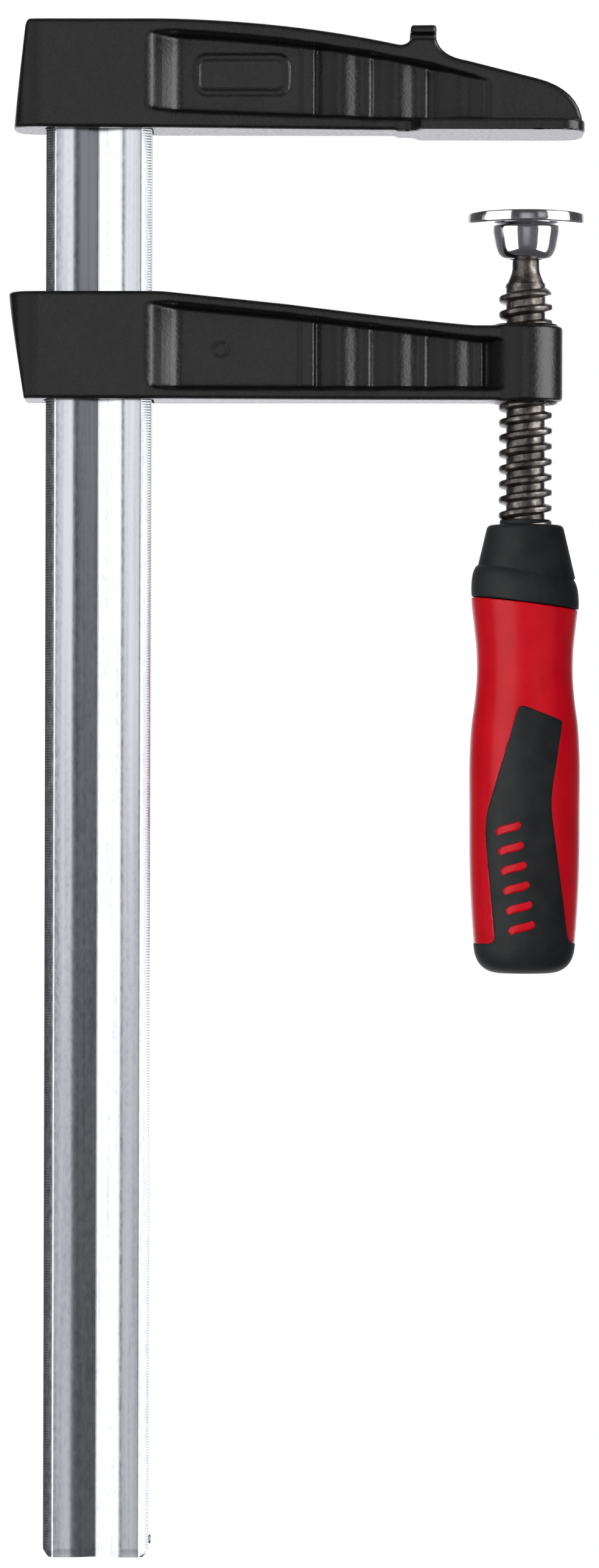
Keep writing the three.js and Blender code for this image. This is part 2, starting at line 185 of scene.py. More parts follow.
def surface_net(field, low, high, cell):
    """A closed quad mesh of the surface where field(x, y, z) is zero."""
    axes = [np.arange(a, b + cell, cell) for a, b in zip(low, high)]
    values = field(*np.meshgrid(*axes, indexing="ij"))
    inside = values < 0
    shape = np.array(values.shape) - 1
    total = np.zeros((*shape, 3))
    count = np.zeros(shape)
    crossings = []
    for axis in range(3):
        lower = [slice(None)] * 3
        upper = [slice(None)] * 3
        lower[axis], upper[axis] = slice(None, -1), slice(1, None)
        a, b = values[tuple(lower)], values[tuple(upper)]
        crossed = inside[tuple(lower)] != inside[tuple(upper)]
        crossings.append((crossed, inside[tuple(lower)]))
        where = np.nonzero(crossed)
        place = np.stack(where, -1).astype(float)
        place[:, axis] += a[where] / (a[where] - b[where])
        others = [i for i in range(3) if i != axis]
        for shift_1 in (0, 1):
            for shift_2 in (0, 1):
                cells = [np.array(w) for w in where]
                cells[others[0]] = cells[others[0]] - shift_1
                cells[others[1]] = cells[others[1]] - shift_2
                good = np.all([(c >= 0) & (c < n) for c, n in zip(cells, shape)], axis=0)
                index = tuple(c[good] for c in cells)
                np.add.at(total, index, place[good])
                np.add.at(count, index, 1)
    used = count > 0
    number = np.full(shape, -1)
    number[used] = np.arange(used.sum())
    points = total[used] / count[used][:, None] * cell + np.array(low, float)
    quads = []
    rings = (((0, -1, -1), (0, 0, -1), (0, 0, 0), (0, -1, 0)),
             ((-1, 0, -1), (-1, 0, 0), (0, 0, 0), (0, 0, -1)),
             ((-1, -1, 0), (0, -1, 0), (0, 0, 0), (-1, 0, 0)))
    for axis, (crossed, starts_inside) in enumerate(crossings):
        where = np.nonzero(crossed)
        ring = []
        for offset in rings[axis]:
            ring.append(number[tuple(np.clip(w + o, 0, n - 1)
                                     for w, o, n in zip(where, offset, shape))])
        ring = np.stack(ring, -1)
        flip = ~starts_inside[where]
        ring[flip] = ring[flip][:, ::-1]
        quads.append(ring)
    quads = np.concatenate(quads)
    for _ in range(3):
        points = pull_to_surface(field, points, cell)
    return points, quads


def pull_to_surface(field, points, cell, step=0.04):
    """One Newton step towards the zero surface, no longer than half a cell."""
    x, y, z = points.T
    value = field(x, y, z)
    gradient = np.stack([
        field(x + step, y, z) - field(x - step, y, z),
        field(x, y + step, z) - field(x, y - step, z),
        field(x, y, z + step) - field(x, y, z - step)], -1) / (2 * step)
    size = np.maximum((gradient ** 2).sum(-1), 0.25)
    move = -gradient * (value / size)[:, None]
    length = np.linalg.norm(move, axis=-1, keepdims=True)
    return points + move * np.minimum(1, 0.5 * cell / np.maximum(length, 1e-9))


# ---- Mesh helpers ----
def add_piece(name, points, faces, material, body, slot, stands_for=(), sharp=40):
    """A new object from millimetre points, riding on a body."""
    mesh = bpy.data.meshes.new(name)
    mesh.from_pydata((np.asarray(points) * MM).tolist(), [], [list(map(int, f)) for f in faces])
    mesh.validate()
    mesh.materials.append(material)
    mesh.shade_smooth()
    if sharp:
        mesh.set_sharp_from_angle(angle=math.radians(sharp))
    piece = bpy.data.objects.new(name, mesh)
    bpy.context.scene.collection.objects.link(piece)
    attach(piece, body)
    if stands_for:
        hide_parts(*stands_for)
    return piece


def grid_faces(rows, columns, wrap=True, first=0):
    """Quads between rows of points; each row closes on itself when wrap is true."""
    faces = []
    for i in range(rows - 1):
        for j in range(columns if wrap else columns - 1):
            a = first + i * columns + j
            b = first + i * columns + (j + 1) % columns
            faces.append((a, b, b + columns, a + columns))
    return faces


def turned(profile, segments=96, centre=(0.0, 0.0)):
    """A body of revolution about an upright axis. The profile runs upwards from axis to axis."""
    inner = profile[1:-1]
    angle = np.linspace(0, 2 * math.pi, segments, endpoint=False)
    points = []
    for radius, z in inner:
        ring = np.stack([centre[0] + radius * np.cos(angle), centre[1] + radius * np.sin(angle),
                         np.full(segments, z)], -1)
        points.extend(ring)
    faces = grid_faces(len(inner), segments)
    bottom, top = len(points), len(points) + 1
    points.append((*centre, profile[0][1]))
    points.append((*centre, profile[-1][1]))
    last = (len(inner) - 1) * segments
    for j in range(segments):
        k = (j + 1) % segments
        faces.append((bottom, k, j))
        faces.append((top, last + j, last + k))
    return np.array(points), faces


def rounded(profile, radius=0.5, steps=4):
    """The same profile with every inner corner rounded off."""
    result = [tuple(profile[0])]
    for before, corner, after in zip(profile, profile[1:], profile[2:]):
        before, corner, after = (np.array(p, float) for p in (before, corner, after))
        to_before, to_after = before - corner, after - corner
        reach_1 = min(radius, np.linalg.norm(to_before) * 0.45)
        reach_2 = min(radius, np.linalg.norm(to_after) * 0.45)
        start = corner + to_before / np.linalg.norm(to_before) * reach_1
        end = corner + to_after / np.linalg.norm(to_after) * reach_2
        result.append(tuple(start))
        result.extend(tuple(p) for p in curve(start, corner, end, steps))
    result.append(tuple(profile[-1]))
    return result


# ---- Material helpers ----
def new_material(name, color, roughness, metallic=0.0, **sockets):
    material = bpy.data.materials.new(name)
    material.use_nodes = True
    shader = material.node_tree.nodes["Principled BSDF"]
    shader.inputs["Base Color"].default_value = (*color, 1)
    shader.inputs["Roughness"].default_value = roughness
    shader.inputs["Metallic"].default_value = metallic
    for socket, value in sockets.items():
        shader.inputs[socket.replace("_", " ")].default_value = value
    return material


class Nodes:
    """Short calls for the procedural nodes of one material."""

    def __init__(self, material):
        self.tree = material.node_tree
        self.shader = self.tree.nodes["Principled BSDF"]
        self.place = self.tree.nodes.new("ShaderNodeTexCoord").outputs["Object"]

    def link(self, output, node_input):
        self.tree.links.new(output, node_input)

    def scaled(self, scale):
        node = self.tree.nodes.new("ShaderNodeMapping")
        node.inputs["Scale"].default_value = scale
        self.link(self.place, node.inputs["Vector"])
        return node.outputs["Vector"]

    def noise(self, scale, detail=3.0, rough=0.5, vector=None):
        node = self.tree.nodes.new("ShaderNodeTexNoise")
        node.inputs["Scale"].default_value = scale
        node.inputs["Detail"].default_value = detail
        node.inputs["Roughness"].default_value = rough
        self.link(vector or self.place, node.inputs["Vector"])
        return node.outputs["Fac"]

    def cells(self, scale):
        node = self.tree.nodes.new("ShaderNodeTexVoronoi")
        node.inputs["Scale"].default_value = scale
        self.link(self.place, node.inputs["Vector"])
        return node.outputs["Distance"]

    def ramp(self, value, stops):
        node = self.tree.nodes.new("ShaderNodeValToRGB")
        elements = node.color_ramp.elements
        while len(elements) < len(stops):
            elements.new(0.5)
        for element, (position, color) in zip(elements, stops):
            element.position = position
            if np.isscalar(color):
                color = (color, color, color)
            element.color = (*color, 1)
        self.link(value, node.inputs["Fac"])
        return node.outputs["Color"]

    def math(self, operation, a, b):
        node = self.tree.nodes.new("ShaderNodeMath")
        node.operation = operation
        for socket, value in zip(node.inputs, (a, b)):
            if isinstance(value, (int, float)):
                socket.default_value = value
            else:
                self.link(value, socket)
        return node.outputs["Value"]

    def color(self, output):
        self.link(output, self.shader.inputs["Base Color"])

    def roughness(self, value, low, high):
        node = self.tree.nodes.new("ShaderNodeMapRange")
        node.inputs["To Min"].default_value = low
        node.inputs["To Max"].default_value = high
        self.link(value, node.inputs["Value"])
        self.link(node.outputs["Result"], self.shader.inputs["Roughness"])

    def bump(self, *layers):
        """Stacks (height, strength, distance in mm) layers on the shader's normal."""
        normal = None
        for height, strength, distance in layers:
            node = self.tree.nodes.new("ShaderNodeBump")
            node.inputs["Strength"].default_value = strength
            node.inputs["Distance"].default_value = distance * MM
            self.link(height, node.inputs["Height"])
            if normal:
                self.link(normal, node.inputs["Normal"])
            normal = node.outputs["Normal"]
        self.link(normal, self.shader.inputs["Normal"])


def cast_material(name, color):
    material = new_material(name, color, 0.28, Specular_IOR_Level=0.55)
    nodes = Nodes(material)
    grain = nodes.noise(1400, 4, 0.62)
    patches = nodes.noise(90, 3, 0.5)
    mix = nodes.math("ADD", nodes.math("MULTIPLY", grain, 0.45),
                     nodes.math("MULTIPLY", patches, 0.55))
    dark = tuple(c * 0.72 for c in color)
    light = tuple(c * 1.45 for c in color)
    nodes.color(nodes.ramp(mix, [(0.3, dark), (0.5, color), (0.72, light)]))
    nodes.roughness(nodes.noise(900, 3, 0.6), 0.16, 0.4)
    nodes.bump((grain, 0.85, 0.085), (nodes.noise(620, 4, 0.6), 0.5, 0.12))
    return material


def rail_material():
    material = new_material("drawn_steel", (0.58, 0.595, 0.62), 0.16, 1.0)
    nodes = Nodes(material)
    lines = nodes.noise(1, 4, 0.6, nodes.scaled((2600, 2600, 14)))
    long_marks = nodes.noise(1, 3, 0.5, nodes.scaled((900, 900, 12)))
    blotches = nodes.noise(1, 5, 0.68, nodes.scaled((900, 900, 420)))
    tone = nodes.math("ADD", nodes.math("MULTIPLY", long_marks, 0.5),
                      nodes.math("MULTIPLY", blotches, 0.5))
    nodes.color(nodes.ramp(tone, [(0.34, (0.43, 0.445, 0.475)), (0.5, (0.575, 0.59, 0.62)),
                                  (0.68, (0.66, 0.675, 0.7))]))
    nodes.roughness(blotches, 0.08, 0.3)
    nodes.bump((lines, 0.2, 0.005), (blotches, 0.3, 0.012))
    return material


def spindle_material():
    color = (0.1, 0.09, 0.083)
    material = new_material("rolled_steel", color, 0.3, 0.9)
    nodes = Nodes(material)
    smear = nodes.noise(1, 4, 0.6, nodes.scaled((500, 500, 1500)))
    nodes.color(nodes.ramp(nodes.noise(350, 4, 0.6), [
        (0.34, (0.042, 0.038, 0.035)), (0.52, color), (0.7, (0.31, 0.285, 0.262))]))
    nodes.roughness(smear, 0.2, 0.44)
    nodes.bump((smear, 0.35, 0.03))
    return material


def chrome_material():
    material = new_material("bright_plate", (0.86, 0.865, 0.88), 0.06, 1.0)
    nodes = Nodes(material)
    rings = nodes.noise(1, 3, 0.5, nodes.scaled((60, 60, 2400)))
    nodes.color(nodes.ramp(nodes.noise(220, 3, 0.55), [
        (0.35, (0.74, 0.745, 0.77)), (0.6, (0.88, 0.885, 0.9))]))
    nodes.roughness(nodes.noise(800, 3, 0.6), 0.07, 0.15)
    nodes.bump((rings, 0.12, 0.01))
    return material


def red_material():
    color = (0.6, 0.0015, 0.0105)
    material = new_material("red_plastic", color, 0.26, Specular_IOR_Level=0.2)
    nodes = Nodes(material)
    nodes.color(nodes.ramp(nodes.noise(120, 3, 0.5), [
        (0.35, (0.56, 0.0013, 0.0095)), (0.65, (0.64, 0.0018, 0.0118))]))
    nodes.roughness(nodes.noise(700, 3, 0.6), 0.2, 0.32)
    nodes.bump((nodes.noise(1500, 3, 0.55), 0.16, 0.02), (nodes.noise(160, 2, 0.5), 0.1, 0.06))
    return material


def soft_material():
    color = (0.0135, 0.0145, 0.015)
    material = new_material("soft_black", color, 0.6, Specular_IOR_Level=0.3)
    nodes = Nodes(material)
    nodes.color(nodes.ramp(nodes.noise(160, 3, 0.55), [
        (0.35, (0.0105, 0.0114, 0.0118)), (0.65, (0.0165, 0.0178, 0.0185))]))
    nodes.roughness(nodes.noise(900, 3, 0.6), 0.48, 0.64)
    nodes.bump((nodes.noise(1900, 3, 0.6), 0.4, 0.035), (nodes.cells(1700), 0.2, 0.03))
    return material


CAST = cast_material("black_casting", (0.005, 0.005, 0.0047))
STEEL = rail_material()
SCREW = spindle_material()
CHROME = chrome_material()
RED = red_material()
SOFT = soft_material()


# ---- Cast arms ----
# Half thickness of the web against the distance from the rail's centre
RUN_IN = ((12.5, COLLAR_HALF), (13.1, 10.35), (13.9, 9.85), (14.6, 9.05), (16.2, 6.6), (17.6, 5.15),
          (18.9, 3.95), (19.9, 3.4), (20.9, 3.1), (21.8, WEB_HALF))
# Height of the web over one flute, from groove to groove
FLUTE = ((0, -1.2), (0.05, -0.9), (0.1, -0.4), (0.16, 0.1), (0.23, 0.5), (0.31, 0.79), (0.37, 0.92),
         (0.42, 0.93), (0.47, 0.86), (0.52, 0.7), (0.57, 0.47), (0.62, 0.2), (0.67, -0.06),
         (0.73, -0.26), (0.8, -0.32), (0.86, -0.22), (0.9, -0.12), (0.95, -0.45), (1, -1.2))
FILLET_BAND = (-58.9, -58.2, -55.2, -54.4)  # a low raised band before the first groove
FILLET_BAND_HEIGHT = 0.45


def web_half_thickness(x, ramp_start, ramp_end, end_half):
    """Half thickness of the web along an arm: an S-shaped run-in from the collar, a flat field,
    a row of arched flutes parted by sharp grooves, and a run-out at the end."""
    half = np.interp(x - RAIL_X, *zip(*RUN_IN))
    rise_start, rise_end, fall_start, fall_end = FILLET_BAND
    half = half + FILLET_BAND_HEIGHT * (
        smoothstep(rise_start, rise_end, x) * (1 - smoothstep(fall_start, fall_end, x)))
    rise = np.interp(np.mod((x - FIRST_GROOVE_X) / FLUTE_PITCH, 1), *zip(*FLUTE))
    fluted = smoothstep(-55.0, -54.2, x) * (1 - smoothstep(ramp_end - 6, ramp_end - 2, x))
    half = half + rise * fluted
    return half + (end_half - WEB_HALF) * smoothstep(ramp_start, ramp_end, x)


def flange_half_width(x):
    return COLLAR_HALF - (COLLAR_HALF - FLANGE_HALF) * np.clip((x - RAIL_X - 17) / 55, 0, 1)


def collar_plan(outer_x):
    """Rounded plan of a collar; its inner end runs on into the flanges."""
    half, reach = COLLAR_HALF, 8.0
    points = [(0, -half), (0, half), (outer_x + reach, half)]
    points += curve((outer_x + reach, half), (outer_x, half), (outer_x, half - reach))
    points += [(outer_x, -half + reach)]
    points += curve((outer_x, -half + reach), (outer_x, -half), (outer_x + reach, -half))
    return polygon_distance(points)


def rail_slot(x, y, clearance):
    return np.maximum(np.abs(x - RAIL_X) - RAIL_HALF_WIDTH - clearance,
                      np.abs(y) - RAIL_HALF_THICKNESS - clearance)


def jaw_outline():
    top = JAW_HIGH[2]
    points = [(RAIL_X - 22.1, 0.8), (-40, 0.4), (14.3, 0.4), (14.3, 2.1)]
    points += curve((14.3, 2.1), (13.6, 11.2), (2.3, 14))
    points += [(-15.6, 18.5)]
    points += curve((-15.6, 18.5), (-22.4, 19.6), (-23.4, 23.8))
    points += curve((-23.4, 26.6), (-23.4, 27.6), (-24.4, 27.6), 4)
    points += curve((-29.1, 27.6), (-30.1, 27.6), (-30.1, 26.6), 4)
    points += curve((-30.1, 24.2), (-30.6, 22.5), (-33, 22.5))
    points += curve((-33, 22.5), (-62, 28.6), (RAIL_X + 15, top), 14)
    points += curve((RAIL_X - 17.4, top), (RAIL_X - 18.7, top), (RAIL_X - 19.0, top - 2), 5)
    return polygon_distance(points)


def jaw_pocket():
    points = [(RAIL_X + 12.4, 5.8), (-35, 3.6), (-6, 3.2), (-5, 6), (-6.0, 12.2)]
    points += curve((-6.0, 12.2), (-17, 15.2), (-25, 17.0))
    points += curve((-25, 17.0), (-57, 23.9), (RAIL_X + 14, 25.1), 12)
    points += curve((RAIL_X + 14, 25.1), (RAIL_X + 12.4, 25.1), (RAIL_X + 12.4, 23), 4)
    return polygon_distance(points)


def clamping_plate():
    half, tip, back = -JAW_LOW[1], 14.8, -27.5
    side = [(back - 6, FLANGE_HALF)]
    side += curve((back - 4.5, FLANGE_HALF), (back - 1.5, FLANGE_HALF), (back, half), 6)
    side += [(tip - 6, half)]
    side += curve((tip - 6, half), (tip - 0.5, half), (tip, half - 7), 6)
    return polygon_distance(side + [(x, -y) for x, y in reversed(side)])


def pocket_cut(pocket, x, y, z, floor):
    """The sunk field of an arm, with drafted walls and a filleted floor."""
    depth = np.abs(y) - floor
    walls = in_xz(pocket, x, z) - 0.1 * np.clip(depth, 0, 8)
    return smooth_max(walls, -depth, 1.1)


def badge(x, z, centre_x, centre_z, half_length, half_height):
    """Height of a plain raised frame with rounded corners."""
    corner = 2.6
    across = np.abs(x - centre_x) - half_length + corner
    up = np.abs(z - centre_z) - half_height + corner
    edge = np.hypot(np.maximum(across, 0), np.maximum(up, 0)) + np.minimum(
        np.maximum(across, up), 0) - corner
    return 0.42 * (1 - smoothstep(0.3, 1.15, np.abs(edge)))


def fixed_jaw_field():
    outline, pocket, plan = jaw_outline(), jaw_pocket(), clamping_plate()
    collar = collar_plan(RAIL_X - 22.5)

    def field(x, y, z):
        side = in_xz(outline, x, z)
        beam = smooth_max(side, np.abs(y) - flange_half_width(x), 1.3)
        body = np.where(x < RAIL_X + 13, smooth_max(side, in_xy(collar, x, y), 1.3), beam)
        floor = web_half_thickness(x, -24.5, -6.5, FLANGE_HALF + 0.7)
        floor = floor + badge(x, z, -73.6, 15.0, 11.6, 4.6)
        body = smooth_max(body, -pocket_cut(pocket, x, y, z, floor), 0.8)
        plate = smooth_max(in_xy(plan, x, y), np.abs(z - 0.7) - 2.2, 0.7)
        body = smooth_min(body, plate, 0.7)
        undercut = np.maximum.reduce([np.abs(z - 24.8) - 0.75, x + 22.4, -31.2 - x,
                                      4.6 - np.abs(y)])
        body = smooth_max(body, -undercut, 0.5)
        body = np.maximum(body, -z)
        return smooth_max(body, -rail_slot(x, y, 0.15), 0.4)

    return field


def arm_outline():
    low, top, nose = -69.2, ARM_HIGH[2], -49.8
    points = [(RAIL_X - 19.1, low), (0, low), (0, nose), (-13.6, nose)]
    points += curve((-13.6, nose), (-25.7, -48.9), (-61.8, -44.6), 10)
    points += curve((RAIL_X + 20, top + 0.5 - 0.9), (RAIL_X + 17, top), (RAIL_X + 14, top), 4)
    points += curve((RAIL_X - 22.6, top), (RAIL_X - 23.6, top), (RAIL_X - 23.4, top - 1.2), 4)
    return polygon_distance(points)


def arm_pocket():
    points = [(RAIL_X + 13.8, -65.9), (-3, -65.9), (-3, -53.9), (-13, -53.5)]
    points += curve((-13, -53.5), (-25.7, -51.9), (-61.8, -47.8), 10)
    points += curve((RAIL_X + 14, -44.5), (RAIL_X + 12.4, -44.4), (RAIL_X + 12.4, -46), 4)
    points += [(RAIL_X + 12.4, -64.5)]
    return polygon_distance(points)


def boss_thread(x, y, z, clearance=0.3):
    """Distance to the wall of the boss's own right-hand thread."""
    radius = np.sqrt(x * x + y * y)
    phase = np.mod((z - THREAD_START) / PITCH - np.arctan2(y, x) / (2 * math.pi) + 0.5, 1) - 0.5
    ridge = np.interp(np.abs(phase) * PITCH, [0, 0.9, 1.45, 2], [1, 1, 0, 0])
    wall = ROOT_RADIUS + clearance + (CREST_RADIUS - ROOT_RADIUS) * ridge
    return (radius - wall) * 0.8


def sliding_arm_field():
    outline, pocket = arm_outline(), arm_pocket()
    collar = collar_plan(RAIL_X - 23.5)
    boss_middle, boss_half = (BOSS_LOW + BOSS_HIGH) / 2, (BOSS_HIGH - BOSS_LOW) / 2

    def field(x, y, z):
        radius = np.sqrt(x * x + y * y)
        side = in_xz(outline, x, z)
        beam = smooth_max(side, np.abs(y) - flange_half_width(x), 1.3)
        body = np.where(x < RAIL_X + 13, smooth_max(side, in_xy(collar, x, y), 1.3), beam)
        floor = web_half_thickness(x, -8.5, -4.0, WEB_HALF) + 0.3 * (
            1 - smoothstep(1.6, 2.1, np.hypot(x + 79, z + 56)))
        body = smooth_max(body, -pocket_cut(pocket, x, y, z, floor), 0.8)
        body = smooth_max(body, x, 0.5)
        past_end = np.abs(z - boss_middle) - boss_half
        boss = smooth_max(radius - BOSS_RADIUS, past_end, 0.9)
        body = smooth_min(body, boss, 1.3)
        ring = smooth_max(radius - BOSS_RING_RADIUS, past_end - BOSS_RING_HEIGHT, 0.35)
        body = np.minimum(body, ring)
        to_end = np.minimum(np.abs(z - ARM_LOW[2]), np.abs(z - BOSS_HIGH - BOSS_RING_HEIGHT))
        mouth = radius - 7.4 + to_end * 1.2
        body = np.maximum(body, -np.minimum(boss_thread(x, y, z), mouth * 0.7))
        return smooth_max(body, -rail_slot(x, y, 0.4), 0.4)

    return field


def cast_piece(node, field, low, high, body):
    cell = 0.5
    points, quads = surface_net(field, low - 1.5, high + 1.5, cell)
    return add_piece(node + "_body", points, quads, CAST, body, "cast_iron", [node], sharp=50)


# ---- Rail ----
def rail_section():
    """Half outline of the rail as (x, y, tooth) points; tooth is 1 where the edge is serrated."""
    half_width, half_thickness = RAIL_HALF_WIDTH, RAIL_HALF_THICKNESS
    chamfer, chamfer_depth, groove, depth = 2.6, 2.05, 6.6, 1.75
    slope = [(groove + 0.6, 0.0), (groove, 0.025), (5.8, 0.1), (4.6, 0.35), (2.4, 1.0),
             (0.35, depth - 0.06)]
    outline = ([(-x, half_thickness - sunk) for x, sunk in slope] + [(0, half_thickness - depth)]
               + [(x, half_thickness - sunk) for x, sunk in reversed(slope)])
    points = [(x, y, 0.0) for x, y in outline]
    corner = half_width - chamfer
    points += [(corner - 0.35, half_thickness, 0.0), (corner - 0.1, half_thickness - 0.03, 0.0),
               (corner + 0.12, half_thickness - 0.15, 0.0),
               (corner + 0.4, half_thickness - 0.36, 0.3)]
    points += [(half_width - 0.3, half_thickness - chamfer_depth + 0.19, 0.4),
               (half_width - 0.06, half_thickness - chamfer_depth - 0.06, 1.0),
               (half_width, half_thickness - chamfer_depth - 0.4, 1.0)]
    right_down = [(x, -y, t) for x, y, t in reversed(points[-4:])]
    right_down += [(x, -y, t) for x, y, t in reversed(points[len(outline):-4])]
    half = points + right_down
    return half + [(-x, -y, t) for x, y, t in half]


def rail():
    """The section swept up the rail; the serrated edges are flat lands parted by fine notches."""
    section = np.array(rail_section())
    tooth_pitch, notch_depth = 0.7, 0.06
    bottom, top = RAIL_LOW[2], RAIL_HIGH[2]
    teeth = np.arange(bottom + 2.2, top - 1.2, tooth_pitch)
    z = (teeth[:, None] + np.array([0, 0.13, 0.26])).ravel()
    notch = np.tile([0.0, 1.0, 0.0], len(teeth))
    inset = np.zeros(len(z))
    z = np.concatenate([[bottom, bottom, bottom + 0.5, bottom + 1.7], z, [top - 0.4, top, top]])
    notch = np.concatenate([[0] * 4, notch, [0] * 3])
    inset = np.concatenate([[1.7, 1.45, 1.0, 0.2], inset, [0, 0.3, 0.6]])
    x, y, toothed = section.T
    points = []
    for height, depth, shrink in zip(z, notch, inset):
        px = x - np.sign(x) * toothed * depth * notch_depth
        px = np.sign(px) * np.minimum(np.abs(px), RAIL_HALF_WIDTH - shrink)
        py = y * (1 - min(shrink, 0.5) * 0.06) - np.sign(y) * toothed * depth * notch_depth
        points.append(np.stack([RAIL_X + px, py, np.full(len(px), height)], -1))
    rows = len(points)
    points = np.concatenate(points)
    count = len(section)
    faces = [face[::-1] for face in grid_faces(rows, count)]
    faces.append(tuple(range(count)))
    faces.append(tuple(range(rows * count - 1, (rows - 1) * count - 1, -1)))
    return add_piece("rail_body", points, faces, STEEL, "frame", "rail_steel", ["rail"], sharp=20)


def end_stop():
    radius, length = 1.25, STOP_HIGH[0] - STOP_LOW[0]
    points, faces = turned(rounded([(0, 0), (radius, 0), (radius, length - 0.3),
                                    (radius - 0.35, length), (0, length)], 0.25), 32)
    x, y, z = points.T
    centre = (STOP_LOW + STOP_HIGH) / 2
    placed = np.stack([STOP_LOW[0] + z, centre[1] + y, centre[2] - x], -1)
    return add_piece("rail_end_stop_pin", placed, faces, STEEL, "frame", "rail_steel",
                     ["rail_end_stop"])


# ---- Spindle ----
def spindle_thread():
    """A sheared grid whose rows follow the helix, so that both flanks stay crisp."""
    segments = 96
    start = THREAD_START - PITCH
    half_crest, half_root = 0.62, 1.16
    offsets = np.array([-2 + 0.04, -half_root - 0.1, -half_root + 0.08, -half_crest - 0.1,
                        -half_crest + 0.1, -0.2, 0.2, half_crest - 0.1, half_crest + 0.1,
                        half_root - 0.08, half_root + 0.1])
    lift = np.array([0, 0, 0.12, 0.88, 0.985, 1, 1, 0.985, 0.88, 0.12, 0])
    turns = int((THREAD_TOP + 0.1 - start) / PITCH) + 2
    angle = np.linspace(0, 2 * math.pi, segments, endpoint=False)
    points = []
    for turn in range(turns):
        for offset, height in zip(offsets, lift):
            z = start + turn * PITCH + offset + PITCH * angle / (2 * math.pi)
            fade = 1 - smoothstep(THREAD_TOP - 3.3, THREAD_TOP, z)
            radius = ROOT_RADIUS - 0.02 + (CREST_RADIUS - ROOT_RADIUS) * height * fade
            radius = np.where(z > THREAD_TOP, neck_radius(z) - 0.12, radius)
            points.append(np.stack([radius * np.cos(angle), radius * np.sin(angle), z], -1))
    rows = len(points)
    count = len(offsets)
    points = np.concatenate(points)
    faces = []
    for i in range(rows - 1):
        for j in range(segments):
            a = i * segments + j
            if j + 1 < segments:
                faces.append((a, a + 1, a + 1 + segments, a + segments))
            elif i + 1 + count < rows:
                b = (i + count) * segments
                faces.append((a, b, b + segments, a + segments))
    low_loop = list(range(segments)) + [i * segments for i in range(count, 0, -1)]
    last = rows - 1
    high_loop = [last * segments + j for j in range(segments)]
    high_loop += [i * segments + segments - 1 for i in range(last - 1, last - count - 1, -1)]
    low_centre, high_centre = len(points), len(points) + 1
    points = np.vstack([points, [0, 0, start - 2], [0, 0, points[last * segments][2] - 1.5]])
    for a, b in zip(low_loop, low_loop[1:] + low_loop[:1]):
        faces.append((low_centre, b, a))
    for a, b in zip(high_loop, high_loop[1:] + high_loop[:1]):
        faces.append((high_centre, a, b))
    return points, faces


def neck_radius(z):
    """Radius of the neck as it swells into the thread's core."""
    return NECK_RADIUS + (ROOT_RADIUS + 0.05 - NECK_RADIUS) * smoothstep(-34.4, -40.4, z)


def spindle():
    points, faces = spindle_thread()
    profile = [(0, -46)]
    profile += [(float(neck_radius(z)), z) for z in np.linspace(-46, -31.2, 40)]
    for angle in np.linspace(math.pi - math.asin(3.4 / BALL_RADIUS), 0.05, 20):
        profile.append((BALL_RADIUS * math.sin(angle), BALL_Z + BALL_RADIUS * math.cos(angle)))
    profile.append((0, BALL_Z + BALL_RADIUS))
    neck_points, neck_faces = turned(profile, 72)
    shank = [(0, SPINDLE_BOTTOM), (4.5, SPINDLE_BOTTOM), (4.5, -106), (0, -106)]
    shank_points, shank_faces = turned(rounded(shank, 0.3), 48)
    all_points, all_faces = list(points), list(faces)
    for more_points, more_faces in ((neck_points, neck_faces), (shank_points, shank_faces)):
        first = len(all_points)
        all_points.extend(more_points)
        all_faces.extend(tuple(first + i for i in face) for face in more_faces)
    return add_piece("spindle_screw", all_points, all_faces, SCREW, "spindle", "spindle_steel",
                     ["spindle"], sharp=45)


# ---- Pressure pad ----
def pressure_pad():
    radius, top = 15.0, PAD_TOP
    under = top - 2.9
    profile = [(0, -21.8)]
    for angle in np.linspace(0.08, 1.88, 14):
        profile.append((SOCKET_RADIUS * math.sin(angle), BALL_Z + SOCKET_RADIUS * math.cos(angle)))
    inner = [(6.1, -28.6), (6.1, -31.8), (4.5, -31.8), (4.5, -32.1)]
    outer = curve((5.7, -32.5), (7.5, -31.7), (7.95, -28.6), 8)
    outer += curve((7.95, -28.6), (8.4, -26.4), (8.6, under - 1.1), 5)
    outer += curve((8.6, under - 1.1), (8.75, under), (10.0, under), 6)
    outer += [(radius - 0.8, under)]
    outer += curve((radius - 0.8, under), (radius, under), (radius, under + 0.7), 6)
    outer += curve((radius, top - 0.55), (radius, top), (radius - 0.6, top), 6)
    profile += inner + [(5.4, -32.45), (5.7, -32.5)] + [tuple(p) for p in outer]
    for ring_radius in (12.5, 9.6, 6.2, 3.0):
        profile += [(ring_radius + 0.12, top), (ring_radius, top - 0.03), (ring_radius - 0.12, top)]
    profile.append((0, top))
    points, faces = turned(profile, 128)
    return add_piece("pressure_pad_body", points, faces, CHROME, "pad", "pad_chrome",
                     ["pressure_pad"], sharp=35)


def snap_ring():
    radius, wire, z = 4.78, 0.43, -30.2
    gap = 0.18
    along = np.linspace(gap, 2 * math.pi - gap, 72)
    around = np.linspace(0, 2 * math.pi, 14, endpoint=False)
    points = []
    for angle in along:
        ring = radius + wire * np.cos(around)
        points.append(np.stack([ring * math.cos(angle), ring * math.sin(angle),
                                z + wire * np.sin(around)], -1))
    points = np.concatenate(points)
    faces = [face[::-1] for face in grid_faces(len(along), len(around))]
    faces.append(tuple(range(len(around))))
    faces.append(tuple(range(len(points) - 1, len(points) - len(around) - 1, -1)))
    return add_piece("snap_ring_wire", points, faces, SCREW, "pad_carrier", "ring_steel",
                     ["pad_snap_ring"])


